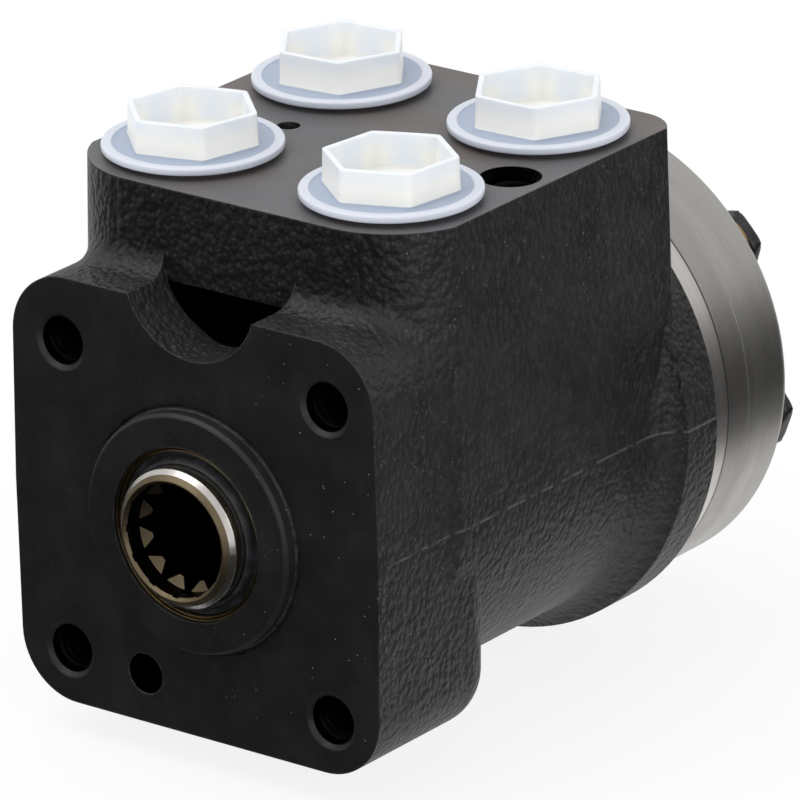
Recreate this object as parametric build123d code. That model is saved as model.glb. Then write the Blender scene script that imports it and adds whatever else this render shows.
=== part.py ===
"""Orbital steering unit: a rotary valve and a six-in-seven gear set in one cast-iron housing.

Frame: +Y runs from the column flange to the end cover, +X is to the right seen from the column,
+Z points out of the port face. The origin lies on the spool axis in the plane of the column
flange. All sizes are in millimetres.
"""

from build123d import *
from math import atan2, cos, degrees, pi, radians, sin, sqrt
import os

os.makedirs("parts", exist_ok=True)

# ---------------------------------------------------------------- general
RUN = 0.04              # radial running clearance of the valve set
FACE_RUN = 0.02         # axial running clearance of the rotor and the needles
THREAD_RUN = 0.02       # drawn clearance of a screwed joint, threads left plain

# ---------------------------------------------------------------- column flange and pilot
flange_half_width = 40.3
flange_edge_draw = 0.6          # how much the sides pull in away from the parting line
flange_bottom = -39.1
flange_top = 41.4
flange_corner = 12.0
flange_depth = 35.0
flange_back_round = 8.0
ledge_fillet = 5.0              # hollow between the flange's top and the port block
parting_z = 1.5
pilot_r = 22.225
pilot_height = 2.6
pilot_chamfer = 0.6
relief_gap = 0.25               # turned relief round the foot of the pilot
relief_width = 0.9
relief_depth = 0.35
mount_pcd = 82.55
mount_tap_r = 4.25              # M10
mount_mouth_r = 5.3
mount_depth = 18.0
vent_hole = (-12.0, -29.8)
vent_hole_r = 3.8
vent_hole_depth = 9.0
notch_r = 14.5
notch_z = 46.2
pocket_r = 9.5
pocket_z = 40.5
pocket_depth = 5.0

# ---------------------------------------------------------------- port block and barrel
port_face_z = 57.4
block_front = 11.6
block_back = 91.6
block_side_draw = 1.1           # how much the block narrows from the parting line to the port face
block_draft = 1.2               # degrees
block_front_corner = 18.5
block_back_corner = 9.0
rear_flange_step = 2.1          # rear flange beyond the gear set
barrel_step = 4.5               # rear flange beyond the barrel
metering_run = 17.0             # length of the slanted drillings along the bore
return_run = 6.0                # how far forward the check chamber's drilling runs
rear_face = 94.0
rear_fillet = 9.0
rear_flange_width = 9.0

# ---------------------------------------------------------------- ports and plugs
port_x = 21.9
port_rows = (29.7, 73.0)
port_r = 9.32                   # G1/2, thread crest
port_depth = 15.0
port_mouth_r = 10.6
screw_x = 32.3                  # M10 holes for a valve block on the port face
screw_y = 50.5
screw_depth = 16.0
screw_mouth_r = 5.6
gauge_hole = (-16.5, 50.3)
gauge_hole_r = 2.1
passage_r = 3.6

plug_clear = 0.07
plug_stem_length = 12.0
plug_collar_r = 12.2
plug_collar_height = 0.6
plug_flange_r = 16.84
plug_flange = 1.0
plug_rim = 0.5                  # height of the bead round the flange
plug_rim_width = 1.3
plug_hex = 22.0
plug_wall = 1.3
plug_height = 9.4               # hexagon above the flange
plug_floor = 1.2
plug_turns = (8.0, 24.0, -13.0, 17.0)   # where each hexagon stopped, degrees

# ---------------------------------------------------------------- valve bores
seal_bore_r = 16.15
seal_bore_floor = 4.2
neck_clear = 0.3
seal_groove = (5.0, 8.0, 16.0)  # from, to, radius
shoulder_y = 9.0                # front end of the main bore
bore_r = 19.0
groove_r = 20.8
groove_width = 4.6
groove_rows = (41.0, 50.0, 59.0, 68.0)

# ---------------------------------------------------------------- spool, sleeve, springs, pin
nose_r = 12.9
nose_face = -6.4
nose_chamfer = 1.7
entry_r = 10.45
spline_start = -2.4
spline_end = 16.0
spline_teeth = 12
spline_pitch_r = 9.525          # 16/32 diametral pitch
spline_minor_r = 8.73
spline_major_r = 10.6
spool_r = 14.26
spool_bore_r = 10.2
spool_bore_start = 28.6
valve_end = 93.6
spring_slot = (19.0, 27.4)
spring_slot_half = 2.6
leaf_thickness = 0.5
leaf_bow = 0.9
leaf_side_gap = 0.2
retainer_width = 3.0
retainer_thickness = 1.4
pin_y = 35.0
pin_r = 4.0
pin_play_r = 6.2                # hole in the spool, leaves the spool its deflection
sleeve_hole_r = 1.7
metering_slot_width = 3.0
metering_slot_depth = 1.6

# ---------------------------------------------------------------- thrust bearing
race = 1.0
needle_r = 0.98
needle_count = 20
needle_length = 3.2
cage_thickness = 1.2
bearing_r_in = 14.5
bearing_r_out = 18.85

# ---------------------------------------------------------------- gear set
plate_thickness = 6.5
gear_width = 6.5
cover_thickness = 13.0
cover_edge = 2.2
lobes = 7
lobe_circle = 31.0
lobe_r = 8.0
eccentricity = 3.5
tip_clear = 0.04
root_clear = 0.45
root_fillet = 2.0
plate_bore_r = 14.3
port_slot = (24.5, 29.5, 5.0)   # kidney ports: from, to, width
oring_section = 1.8
oring_wall = 0.3                # metal between a bolt hole and the O-ring groove
oring_cover = 1.3               # metal outside the groove
oring_depth = 1.3
rotor_point_count = 16               # points of the rotor curve in each lobe

# ---------------------------------------------------------------- drive shaft and spacer
fork_r = 9.2
fork_front = 29.6
fork_end = 46.0
fork_clear = 0.06
shaft_r = 6.8
head_tip_r = 10.4
head_root_r = 8.7
head_length = 5.2
head_crown = 0.3
head_gap = 0.27
head_tooth = 2.2                # at the pitch radius
head_tooth_slope = 0.35
spacer_r = 6.5
spacer_thickness = 3.0
spacer_gap = 0.3

# ---------------------------------------------------------------- cover bolts and check valve
bolt_wall = 0.95                # metal between the gear chamber and a bolt hole
bolt_r = 4.0                    # M8
bolt_hole_r = 4.3
bolt_head_flats = 13.0
bolt_head = 5.3
bolt_grip_in_housing = 13.0
washer_thickness = 1.3
washer_r = 6.9
check_index = 1                 # which bolt carries the check-valve pin
check_pin_r = 1.6
check_pin_length = 6.0
ball_r = 4.0
ball_travel = 1.5
check_bore_r = 4.4
seat_length = 8.0
seat_bore_r = 2.6
seat_cone = 3.2                 # length of the cone the ball sits in

# ---------------------------------------------------------------- worked out from the above
plate_y = rear_face
gear_y = plate_y + plate_thickness
cover_y = gear_y + gear_width
cover_face = cover_y + cover_thickness
gear_mid = gear_y + gear_width / 2
pitch = 360 / lobes
lobe_angles = [90 - k * pitch for k in range(lobes)]
sleeve_r_in = spool_r + RUN
sleeve_r = bore_r - RUN
sleeve_front = shoulder_y + 2 * race + 2 * (needle_r + FACE_RUN)
tilt = degrees(atan2(eccentricity, gear_mid - pin_y))
spacer_start = gear_mid + head_length / 2 + head_tip_r * sin(radians(tilt)) + spacer_gap
root_r = lobe_circle + 2 * eccentricity - lobe_r + root_clear
bolt_circle = root_r + bolt_wall + bolt_hole_r
oring_r = bolt_circle + bolt_hole_r + oring_wall + oring_section / 2
stack_r = oring_r + oring_section / 2 + oring_cover
rear_flange_r = stack_r + rear_flange_step
barrel_r = rear_flange_r - barrel_step
block_half_width = barrel_r - block_side_draw
mount_half = mount_pcd / 2 / sqrt(2)
plug_flange_z = port_face_z + plug_collar_height
plug_top = plug_flange_z + plug_flange + plug_height
ball_rest = rear_face - bolt_grip_in_housing - check_pin_length - ball_travel - ball_r


# ================================================================ helpers
def rod(r, y0, y1, x=0.0, z=0.0):
    """A cylinder along Y."""
    return Pos(x, (y0 + y1) / 2, z) * Rot(90, 0, 0) * Cylinder(r, y1 - y0)


def tube(r_out, r_in, y0, y1):
    """A plain ring about the spool axis."""
    return rod(r_out, y0, y1) - rod(r_in, y0 - 1, y1 + 1)


def turned(*points):
    """A solid turned about the spool axis from (radius, y) points."""
    return revolve(make_face(Polyline(*points, close=True)), Axis.Y)


def across(sketch, y0, y1):
    """A sketch in X and Z, taken from y0 to y1."""
    return extrude(Plane.XZ.offset(-y0) * sketch, amount=-(y1 - y0))


def polar(radius, angle):
    """X and Z of a point on a circle about the spool axis."""
    return radius * cos(radians(angle)), radius * sin(radians(angle))


def drilling(start, end, r):
    """A straight drilled passage from one point to another."""
    run = Vector(*end) - Vector(*start)
    plane = Plane(origin=start, z_dir=run)
    return plane * Cylinder(r, run.length, align=(Align.CENTER, Align.CENTER, Align.MIN))


def tapped(r, mouth_r, depth):
    """The cutter of a tapped hole that goes down from the origin, with its chamfered mouth."""
    chamfer_depth = mouth_r - r
    hole = Pos(0, 0, -depth / 2) * Cylinder(r, depth)
    point = Pos(0, 0, -depth - r / 4) * Cone(0.5 * r, r, r / 2)
    mouth = Pos(0, 0, -chamfer_depth / 2) * Cone(r, mouth_r, chamfer_depth)
    return hole + point + mouth


def toothed(core_r, tip_r, pitch_radius, width, slope, count):
    """A round core with straight-flanked spline teeth, as a sketch."""
    base = core_r - 0.4
    half_base = width / 2 + (pitch_radius - base) * slope
    half_tip = width / 2 - (tip_r - pitch_radius) * slope
    tooth = make_face(
        Polyline((base, -half_base), (tip_r, -half_tip), (tip_r, half_tip), (base, half_base), close=True)
    )
    shape = Circle(core_r)
    for spot in PolarLocations(0, count):
        shape += spot * tooth
    return shape


def face_groove(y, depth):
    """The cutter of an O-ring groove that goes in from a face at y, towards +Y if depth is positive."""
    half = oring_section / 2
    low, high = sorted((y, y + depth))
    return tube(oring_r + half, oring_r - half, low, high)


def bolt_holes(r, y0, y1):
    """One cylinder for each cover bolt."""
    return [rod(r, y0, y1, *polar(bolt_circle, angle)) for angle in lobe_angles]


# ================================================================ housing
def flange_section():
    """The flange outline: four sides drawn to the parting line, with round corners."""
    w, d = flange_half_width, flange_edge_draw
    outline = make_face(
        Polyline(
            (d - w, flange_bottom), (w - d, flange_bottom), (w, parting_z),
            (w - d, flange_top), (d - w, flange_top), (-w, parting_z), close=True,
        )
    )
    corners = [v for v in outline.vertices() if abs(v.Y - parting_z) > 1]
    return fillet(corners, flange_corner)


def body_section():
    """The barrel's lower half with the drafted sides of the port block above it."""
    lower = CenterArc((0, 0), barrel_r, 180, 180)
    side = Polyline(
        (barrel_r, 0), (barrel_r, parting_z), (block_half_width, port_face_z),
        (-block_half_width, port_face_z), (-barrel_r, parting_z), (-barrel_r, 0),
    )
    return make_face(lower + side)


def block_plan():
    """The port block seen from above, larger than the block where the barrel section limits it."""
    wide = barrel_r
    plan = make_face(
        Polyline(
            (-wide, block_front), (wide, block_front), (wide, block_back), (-wide, block_back), close=True
        )
    )
    front = [v for v in plan.vertices() if v.Y < screw_y]
    plan = fillet(front, block_front_corner)
    back = [v for v in plan.vertices() if v.Y > block_back - 0.01]
    return fillet(back, block_back_corner)


def block_body():
    """The port block and barrel as one casting form."""
    section = across(body_section(), 0, rear_face)
    down = -(port_face_z + barrel_r)
    plan = extrude(Plane.XY.offset(port_face_z) * block_plan(), amount=down, taper=-block_draft)
    return section & plan


def rear_flange():
    """The round flange that carries the gear set, with the hollow fillet in front of it."""
    rise = rear_flange_r - barrel_r
    start = rear_face - rear_flange_width
    foot = start - sqrt(rear_fillet**2 - (rear_fillet - rise) ** 2)
    centre = (barrel_r + rear_fillet, foot)
    swing = degrees(atan2(start - foot, rear_fillet - rise))
    hollow = CenterArc(centre, rear_fillet, 180, -swing)
    rest = Polyline(
        hollow @ 1, (rear_flange_r, rear_face), (bore_r, rear_face), (bore_r, foot), (barrel_r, foot)
    )
    return revolve(make_face(hollow + rest), Axis.Y)


def valve_bore():
    """The cutter of the stepped bore, with the seal groove and the four ring channels."""
    neck_r = nose_r + neck_clear
    cut = rod(seal_bore_r, -pilot_height - 1, seal_bore_floor)
    cut += rod(neck_r, 0, shoulder_y + 1)
    cut += rod(seal_groove[2], seal_groove[0], seal_groove[1])
    cut += rod(bore_r, shoulder_y, rear_face + 1)
    for y in groove_rows:
        cut += rod(groove_r, y - groove_width / 2, y + groove_width / 2)
    return cut


def port_cutters():
    """The four port bores, the drilled passages to the ring channels, and the port-face holes."""
    cutters = []
    floor_z = port_face_z - port_depth
    channels = iter(groove_rows)
    for y in port_rows:
        for side in (-1, 1):
            x = side * port_x
            cutters.append(Pos(x, y, port_face_z) * tapped(port_r, port_mouth_r, port_depth))
            target = (side * groove_r * 0.42, next(channels), groove_r * 0.86)
            cutters.append(drilling((x, y, floor_z + 2), target, passage_r))
    for side in (-1, 1):
        hole = tapped(mount_tap_r, screw_mouth_r, screw_depth)
        cutters.append(Pos(side * screw_x, screw_y, port_face_z) * hole)
    x, y = gauge_hole
    cutters.append(drilling((x, y, port_face_z + 1), (x, y, bore_r * 0.6), gauge_hole_r))
    return cutters


def flange_cutters():
    """The column holes, the fifth hole, the top notch and the pocket behind it."""
    cutters = []
    facing = Rot(90, 0, 0)
    for x in (-mount_half, mount_half):
        for z in (-mount_half, mount_half):
            cutters.append(Pos(x, 0, z) * facing * tapped(mount_tap_r, mount_mouth_r, mount_depth))
    x, z = vent_hole
    cutters.append(rod(vent_hole_r, -1, vent_hole_depth, x, z))
    cutters.append(rod(notch_r, -1, block_front, 0, notch_z))
    pocket = rod(pocket_r, block_front - 2, block_front + pocket_depth, 0, pocket_z)
    blind = pocket.edges().filter_by(GeomType.CIRCLE).sort_by(Axis.Y)[-1]
    cutters.append(fillet(blind, pocket_depth * 0.8))
    cutters.append(tube(pilot_r + relief_width, pilot_r + relief_gap, 0, relief_depth))
    return cutters


def check_cutters():
    """The check-valve chamber in line with one cover bolt, and its two drilled passages."""
    x, z = polar(bolt_circle, lobe_angles[check_index])
    chamber_front = ball_rest - ball_r - seat_length
    chamber = rod(check_bore_r, chamber_front, rear_face - bolt_grip_in_housing + 1, x, z)
    port_foot = (port_x, port_rows[1], port_face_z - port_depth + 2)
    supply = drilling(port_foot, (x, ball_rest + ball_r, z), passage_r / 2)
    groove = (0.7 * bore_r, chamber_front - return_run, 0.5 * bore_r)
    back = drilling((x, chamber_front + 1, z), groove, passage_r / 2)
    return [chamber, supply, back]


def metering_cutters():
    """Seven slanted drillings from the rear face to the valve bore, one for each gear chamber."""
    cutters = []
    for angle in lobe_angles:
        outer = polar(sum(port_slot[:2]) / 2, angle + pitch / 2)
        inner = polar(bore_r - 1, angle + pitch / 2)
        start = (outer[0], rear_face + 0.5, outer[1])
        cutters.append(drilling(start, (inner[0], rear_face - metering_run, inner[1]), port_slot[2] / 2))
    return cutters


def column_flange():
    """The square flange, its back edge rounded all the way round."""
    flange = across(flange_section(), 0, flange_depth)
    return fillet(flange.faces().sort_by(Axis.Y)[-1].edges(), flange_back_round)


def casting():
    """The whole casting before machining, with the hollow where the port block rises from the flange."""
    shape = block_body() + column_flange()
    ledge = shape.edges().filter_by(lambda e: abs(e.center().Z - flange_top) < 0.01)
    ledge = ledge.filter_by(lambda e: block_front - 1 < e.center().Y < block_front + 1)
    return fillet(ledge, ledge_fillet) + rear_flange()


def make_housing():
    shape = casting()
    pilot = rod(pilot_r, -pilot_height, flange_depth / 2)
    front_edge = pilot.edges().filter_by(GeomType.CIRCLE).sort_by(Axis.Y)[0]
    shape += chamfer(front_edge, pilot_chamfer)
    shape -= valve_bore()
    for cutter in port_cutters() + flange_cutters() + check_cutters() + metering_cutters():
        shape -= cutter
    for cutter in bolt_holes(bolt_r + THREAD_RUN, rear_face - bolt_grip_in_housing - 3, rear_face + 1):
        shape -= cutter
    return shape - face_groove(rear_face, -oring_depth)


# ================================================================ seals and thrust bearing
def make_dust_seal():
    lip = nose_r + RUN
    front = -pilot_height + 0.7
    return turned(
        (seal_bore_r, seal_bore_floor), (seal_bore_r, front), (seal_bore_r - 1.0, front),
        (seal_bore_r - 1.5, front + 1.0), (lip + 0.9, front + 1.3), (lip + 0.35, front - 0.5),
        (lip, front - 0.2), (lip, front + 1.8), (lip + 0.6, front + 2.6), (lip + 0.6, seal_bore_floor),
    )


def make_shaft_seal():
    y0, y1, _ = seal_groove
    return tube(nose_r + 1.5, nose_r + RUN, y0, y1)


def make_seal_spring_ring():
    y0, y1, r = seal_groove
    return tube(r, nose_r + 1.5, y0 + 0.3, y1 - 0.3)


def make_needles():
    """Needles lying as spokes between the two races."""
    mid_y = shoulder_y + race + needle_r + FACE_RUN
    mid_r = (bearing_r_in + bearing_r_out) / 2
    needle = Pos(mid_r, 0, 0) * Rot(0, 90, 0) * Cylinder(needle_r, needle_length)
    step = 360 / needle_count
    return Compound(children=[Pos(0, mid_y, 0) * Rot(0, k * step, 0) * needle for k in range(needle_count)])


def make_cage():
    mid_y = shoulder_y + race + needle_r + FACE_RUN
    mid_r = (bearing_r_in + bearing_r_out) / 2
    ring = tube(bearing_r_out, bearing_r_in, mid_y - cage_thickness / 2, mid_y + cage_thickness / 2)
    pocket = Pos(mid_r, 0, 0) * Box(needle_length + 0.1, cage_thickness * 2, 2 * needle_r + 0.06)
    for k in range(needle_count):
        ring -= Pos(0, mid_y, 0) * Rot(0, k * 360 / needle_count, 0) * pocket
    return ring


# ================================================================ rotary valve
def make_sleeve():
    shape = tube(sleeve_r, sleeve_r_in, sleeve_front, valve_end)
    y0, y1 = spring_slot
    shape -= Pos(0, (y0 + y1) / 2, 0) * Box(3 * sleeve_r, y1 - y0, 2 * spring_slot_half)
    mid = (y0 + y1) / 2
    low, high = mid - retainer_width / 2, mid + retainer_width / 2
    shape -= tube(sleeve_r + 1, sleeve_r - retainer_thickness, low, high)
    shape -= Pos(0, pin_y, 0) * Rot(0, 90, 0) * Cylinder(pin_r, 3 * sleeve_r)
    for y, count, turn in zip(groove_rows, (12, 6, 6, 6), (15, 0, 30, 15)):
        for k in range(count):
            x, z = polar(1, turn + k * 360 / count)
            shape -= drilling((x, y, z), (2 * x * sleeve_r, y, 2 * z * sleeve_r), sleeve_hole_r)
    return shape


def make_spool():
    blank = turned(
        (0, nose_face), (nose_r - nose_chamfer, nose_face), (nose_r, nose_face + nose_chamfer),
        (nose_r, sleeve_front), (spool_r, sleeve_front), (spool_r, valve_end), (0, valve_end),
    )
    socket = toothed(
        spline_minor_r, spline_major_r, spline_pitch_r,
        radians(180 / spline_teeth) * spline_pitch_r, 0.577, spline_teeth,
    )
    blank -= across(socket, nose_face - 1, spline_end)
    blank -= turned(
        (0, nose_face - 1), (entry_r + 1.6, nose_face - 1), (entry_r, nose_face + 0.6),
        (entry_r, spline_start), (spline_minor_r, spline_start + 1.2), (0, spline_start + 1.2),
    )
    blank -= rod(spool_bore_r, spool_bore_start, valve_end + 1)
    y0, y1 = spring_slot
    blank -= Pos(0, (y0 + y1) / 2, 0) * Box(3 * spool_r, y1 - y0, 2 * spring_slot_half)
    blank -= Pos(0, pin_y, 0) * Rot(0, 90, 0) * Cylinder(pin_play_r, 3 * spool_r)
    slot = Pos(spool_r, (groove_rows[1] + groove_rows[2]) / 2, 0) * Box(
        2 * metering_slot_depth, groove_rows[2] - groove_rows[1], metering_slot_width
    )
    for k in range(6):
        blank -= Rot(0, 15 + 60 * k, 0) * slot
    for k in range(6):
        x, z = polar(1, 45 + 60 * k)
        outside = (2 * x * spool_r, groove_rows[0], 2 * z * spool_r)
        blank -= drilling((x, groove_rows[0], z), outside, sleeve_hole_r)
    return blank


def make_cross_pin():
    pin = Pos(0, pin_y, 0) * Rot(0, 90, 0) * Cylinder(pin_r, 2 * (sleeve_r - 0.6))
    return chamfer(pin.edges().filter_by(GeomType.CIRCLE), 0.4)


def leaf(offset, bow):
    """One flat spring seen along Y: its middle stands off the axis by offset, its ends by bow more."""
    half_length = sleeve_r - retainer_thickness - 0.3
    t = leaf_thickness
    low = ThreePointArc((-half_length, offset + bow), (0, offset), (half_length, offset + bow))
    high = ThreePointArc((half_length, offset + bow + t), (0, offset + t), (-half_length, offset + bow + t))
    return make_face(low + Line(low @ 1, high @ 0) + high + Line(high @ 1, low @ 0))


def make_springs():
    """Two bowed leaves above the axis and two below, with two flat leaves between them."""
    y0, y1 = spring_slot[0] + leaf_side_gap, spring_slot[1] - leaf_side_gap
    half_length = sleeve_r - retainer_thickness - 0.3
    flat = Pos(0, leaf_thickness / 2) * Rectangle(2 * half_length, leaf_thickness)
    upper = [flat, leaf(leaf_thickness + 0.02, leaf_bow), leaf(2 * leaf_thickness + 0.04, leaf_bow)]
    pieces = []
    for sketch in upper:
        above = across(sketch, y0, y1)
        pieces += [Pos(0, 0, 0.01) * above, mirror(Pos(0, 0, 0.01) * above, Plane.XY)]
    return Compound(children=pieces)


def make_retainer():
    mid = sum(spring_slot) / 2
    return tube(
        sleeve_r - 0.05, sleeve_r - retainer_thickness,
        mid - retainer_width / 2 + 0.05, mid + retainer_width / 2 - 0.05,
    )


# ================================================================ drive shaft, rotor, spacer
def on_shaft_axis(shape):
    """Swings a shape about the cross pin, so that its rear end meets the rotor's centre."""
    return Pos(0, pin_y, 0) * Rot(tilt, 0, 0) * Pos(0, -pin_y, 0) * shape


def make_drive_shaft():
    reach = sqrt((gear_mid - pin_y) ** 2 + eccentricity**2)
    mid = pin_y + reach
    head_start, head_end = mid - head_length / 2, mid + head_length / 2
    barrel = ThreePointArc(
        (head_tip_r - head_crown, head_start), (head_tip_r, mid), (head_tip_r - head_crown, head_end)
    )
    barrel_face = make_face(barrel + Polyline(barrel @ 1, (0, head_end), (0, head_start), barrel @ 0))
    teeth = toothed(
        head_root_r, head_tip_r + 1, spline_pitch_r, head_tooth, head_tooth_slope, spline_teeth
    )
    head = across(teeth, head_start, head_end) & revolve(barrel_face, Axis.Y)
    stem = turned(
        (0, fork_front), (fork_r - 1.2, fork_front), (fork_r, fork_front + 1.2), (fork_r, fork_end - 3),
        (shaft_r, fork_end), (shaft_r, head_start - 3), (head_root_r - 0.4, head_start + 0.5),
        (0, head_start + 0.5),
    )
    slot_half = pin_r + fork_clear
    slot_floor = pin_y + fork_r * sin(radians(tilt)) + 0.2
    slot = Box(3 * fork_r, slot_floor - fork_front + 1, 2 * slot_half)
    stem -= Pos(0, (fork_front - 1 + slot_floor) / 2, 0) * slot
    stem -= Pos(0, slot_floor, 0) * Rot(0, 90, 0) * Cylinder(slot_half, 3 * fork_r)
    return on_shaft_axis(stem + head)


def rotor_outline():
    """The curve that rolls inside the ring's lobes: the lobe centres' path, set in by the lobe radius."""
    points = []
    count = (lobes - 1) * rotor_point_count
    inset = lobe_r + tip_clear
    for k in range(count):
        t = 2 * pi * k / count
        x = lobe_circle * cos(t) + eccentricity * cos(lobes * t)
        z = lobe_circle * sin(t) + eccentricity * sin(lobes * t)
        dx = -lobe_circle * sin(t) - lobes * eccentricity * sin(lobes * t)
        dz = lobe_circle * cos(t) + lobes * eccentricity * cos(lobes * t)
        length = sqrt(dx * dx + dz * dz)
        points.append((x - inset * dz / length, z + inset * dx / length))
    return make_face(Spline(*points, periodic=True))


def make_rotor():
    space = head_tooth + 2 * head_gap
    bore = toothed(
        head_root_r + head_gap, head_tip_r + head_gap + 0.05, spline_pitch_r,
        space, head_tooth_slope, spline_teeth,
    )
    body = across(rotor_outline() - bore, gear_y + FACE_RUN, cover_y - FACE_RUN)
    return Pos(0, 0, eccentricity) * body


def make_spacer():
    disc = rod(spacer_r, spacer_start, spacer_start + spacer_thickness, 0, eccentricity)
    return chamfer(disc.edges().filter_by(GeomType.CIRCLE), 0.3)


# ================================================================ plate, ring and cover
def make_distributor_plate():
    shape = tube(stack_r, plate_bore_r, plate_y, gear_y)
    for cutter in bolt_holes(bolt_hole_r, plate_y - 1, gear_y + 1):
        shape -= cutter
    near, far, width = port_slot
    slot = Pos((near + far) / 2, 0) * SlotOverall(far - near + width, width)
    for angle in lobe_angles:
        shape -= across(Rot(0, 0, angle + pitch / 2) * slot, plate_y - 1, gear_y + 1)
    return shape - face_groove(gear_y, -oring_depth)


def make_gear_ring():
    cavity = Circle(root_r)
    for angle in lobe_angles:
        cavity -= Pos(*polar(lobe_circle, angle)) * Circle(lobe_r)
    cavity = fillet(cavity.vertices(), root_fillet)
    shape = across(Circle(stack_r) - cavity, gear_y, cover_y)
    for cutter in bolt_holes(bolt_hole_r, gear_y - 1, cover_y + 1):
        shape -= cutter
    return shape


def make_end_cover():
    shape = rod(stack_r, cover_y, cover_face)
    shape = fillet(shape.edges().filter_by(GeomType.CIRCLE).sort_by(Axis.Y)[-1], cover_edge)
    recess_floor = spacer_start + spacer_thickness + 0.2
    shape -= rod(spacer_r + eccentricity + spacer_gap, cover_y - 1, recess_floor)
    for cutter in bolt_holes(bolt_hole_r, cover_y - 1, cover_face + 1):
        shape -= cutter
    return shape - face_groove(cover_y, oring_depth)


def make_oring(y):
    """A face seal, squeezed flat at both sides, that fills its groove."""
    half = oring_section / 2 - 0.1
    return tube(oring_r + half, oring_r - half, y, y + oring_depth)


# ================================================================ bolts and check valve
def bolt(angle):
    x, z = polar(bolt_circle, angle)
    seat = cover_face + washer_thickness
    head = across(RegularPolygon(bolt_head_flats / 2, 6, major_radius=False), seat, seat + bolt_head)
    crown = turned(
        (0, seat), (bolt_head_flats * 0.6, seat), (bolt_head_flats * 0.6, seat + bolt_head - 0.7),
        (bolt_head_flats * 0.46, seat + bolt_head), (0, seat + bolt_head),
    )
    shank = rod(bolt_r, rear_face - bolt_grip_in_housing, seat)
    return Pos(x, 0, z) * (Rot(0, angle, 0) * (head & crown) + shank)


def make_cover_bolts():
    return Compound(children=[bolt(a) for k, a in enumerate(lobe_angles) if k != check_index])


def make_pin_bolt():
    angle = lobe_angles[check_index]
    end = rear_face - bolt_grip_in_housing
    return bolt(angle) + rod(check_pin_r, end - check_pin_length, end + 1, *polar(bolt_circle, angle))


def make_washers():
    rings = []
    for angle in lobe_angles:
        x, z = polar(bolt_circle, angle)
        rings.append(Pos(x, 0, z) * tube(washer_r, bolt_r + 0.1, cover_face, cover_face + washer_thickness))
    return Compound(children=rings)


def make_check_seat():
    x, z = polar(bolt_circle, lobe_angles[check_index])
    rear = ball_rest - ball_r * 0.5
    front = ball_rest - ball_r - seat_length
    touch = ball_r * 0.92
    body = rod(check_bore_r, front, rear)
    funnel = revolve(
        make_face(Polyline(
            (0, front - 1), (seat_bore_r, front - 1), (seat_bore_r, rear - seat_cone),
            (touch, rear), (0, rear), close=True,
        )),
        Axis.Y,
    )
    bush = body - funnel - Pos(0, ball_rest, 0) * Sphere(ball_r + 0.02)
    return Pos(x, 0, z) * bush


def make_check_ball():
    x, z = polar(bolt_circle, lobe_angles[check_index])
    return Pos(x, ball_rest, z) * Sphere(ball_r)


# ================================================================ port plugs
def make_plug(x, y, turn):
    """A plastic transport plug: stem, seating collar, wide flange with a bead, and an open hexagon."""
    stem_r = port_r - plug_clear
    flange_z = plug_flange_z
    rim_in = plug_flange_r - plug_rim_width
    lathe = make_face(
        Polyline(
            (0, port_face_z - plug_stem_length), (stem_r - 1, port_face_z - plug_stem_length),
            (stem_r, port_face_z - plug_stem_length + 1), (stem_r, port_face_z),
            (plug_collar_r, port_face_z), (plug_collar_r, flange_z), (plug_flange_r, flange_z),
            (plug_flange_r, flange_z + plug_flange + plug_rim), (rim_in, flange_z + plug_flange + plug_rim),
            (rim_in - plug_rim, flange_z + plug_flange), (0, flange_z + plug_flange), close=True,
        )
    )
    body = revolve(Plane.XZ * lathe, Axis.Z)
    hexagon = RegularPolygon(plug_hex / 2, 6, major_radius=False)
    hexagon = fillet(hexagon.vertices(), 0.8)
    hollow = RegularPolygon(plug_hex / 2 - plug_wall, 6, major_radius=False)
    body += extrude(Plane.XY.offset(flange_z) * hexagon, amount=plug_top - flange_z)
    body -= extrude(Plane.XY.offset(flange_z + plug_floor) * hollow, amount=plug_top)
    body -= Pos(0, 0, port_face_z - plug_stem_length) * Cylinder(
        stem_r - plug_wall, 2 * (plug_stem_length - 1.0)
    )
    return Pos(x, y, 0) * Rot(0, 0, turn) * body


# ================================================================ write every piece
pieces = {
    "housing": make_housing(),
    "dust_seal": make_dust_seal(),
    "shaft_seal": make_shaft_seal(),
    "seal_backing_ring": make_seal_spring_ring(),
    "bearing_front_race": tube(bearing_r_out, bearing_r_in, shoulder_y, shoulder_y + race),
    "bearing_needles": make_needles(),
    "bearing_cage": make_cage(),
    "bearing_rear_race": tube(bearing_r_out, bearing_r_in, sleeve_front - race, sleeve_front),
    "spool": make_spool(),
    "sleeve": make_sleeve(),
    "cross_pin": make_cross_pin(),
    "centring_springs": make_springs(),
    "spring_retainer": make_retainer(),
    "drive_shaft": make_drive_shaft(),
    "rotor": make_rotor(),
    "shaft_spacer": make_spacer(),
    "distributor_plate": make_distributor_plate(),
    "gear_ring": make_gear_ring(),
    "end_cover": make_end_cover(),
    "housing_oring": make_oring(rear_face - oring_depth),
    "plate_oring": make_oring(gear_y - oring_depth),
    "cover_oring": make_oring(cover_y),
    "cover_bolts": make_cover_bolts(),
    "pin_bolt": make_pin_bolt(),
    "sealing_washers": make_washers(),
    "check_seat": make_check_seat(),
    "check_ball": make_check_ball(),
}
plug_names = ("plug_front_left", "plug_front_right", "plug_rear_left", "plug_rear_right")
plug_places = [(side * port_x, y) for y in port_rows for side in (-1, 1)]
for name, (x, y), turn in zip(plug_names, plug_places, plug_turns):
    pieces[name] = make_plug(x, y, turn)

for name, shape in pieces.items():
    export_step(shape, f"parts/{name}.step")
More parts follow.
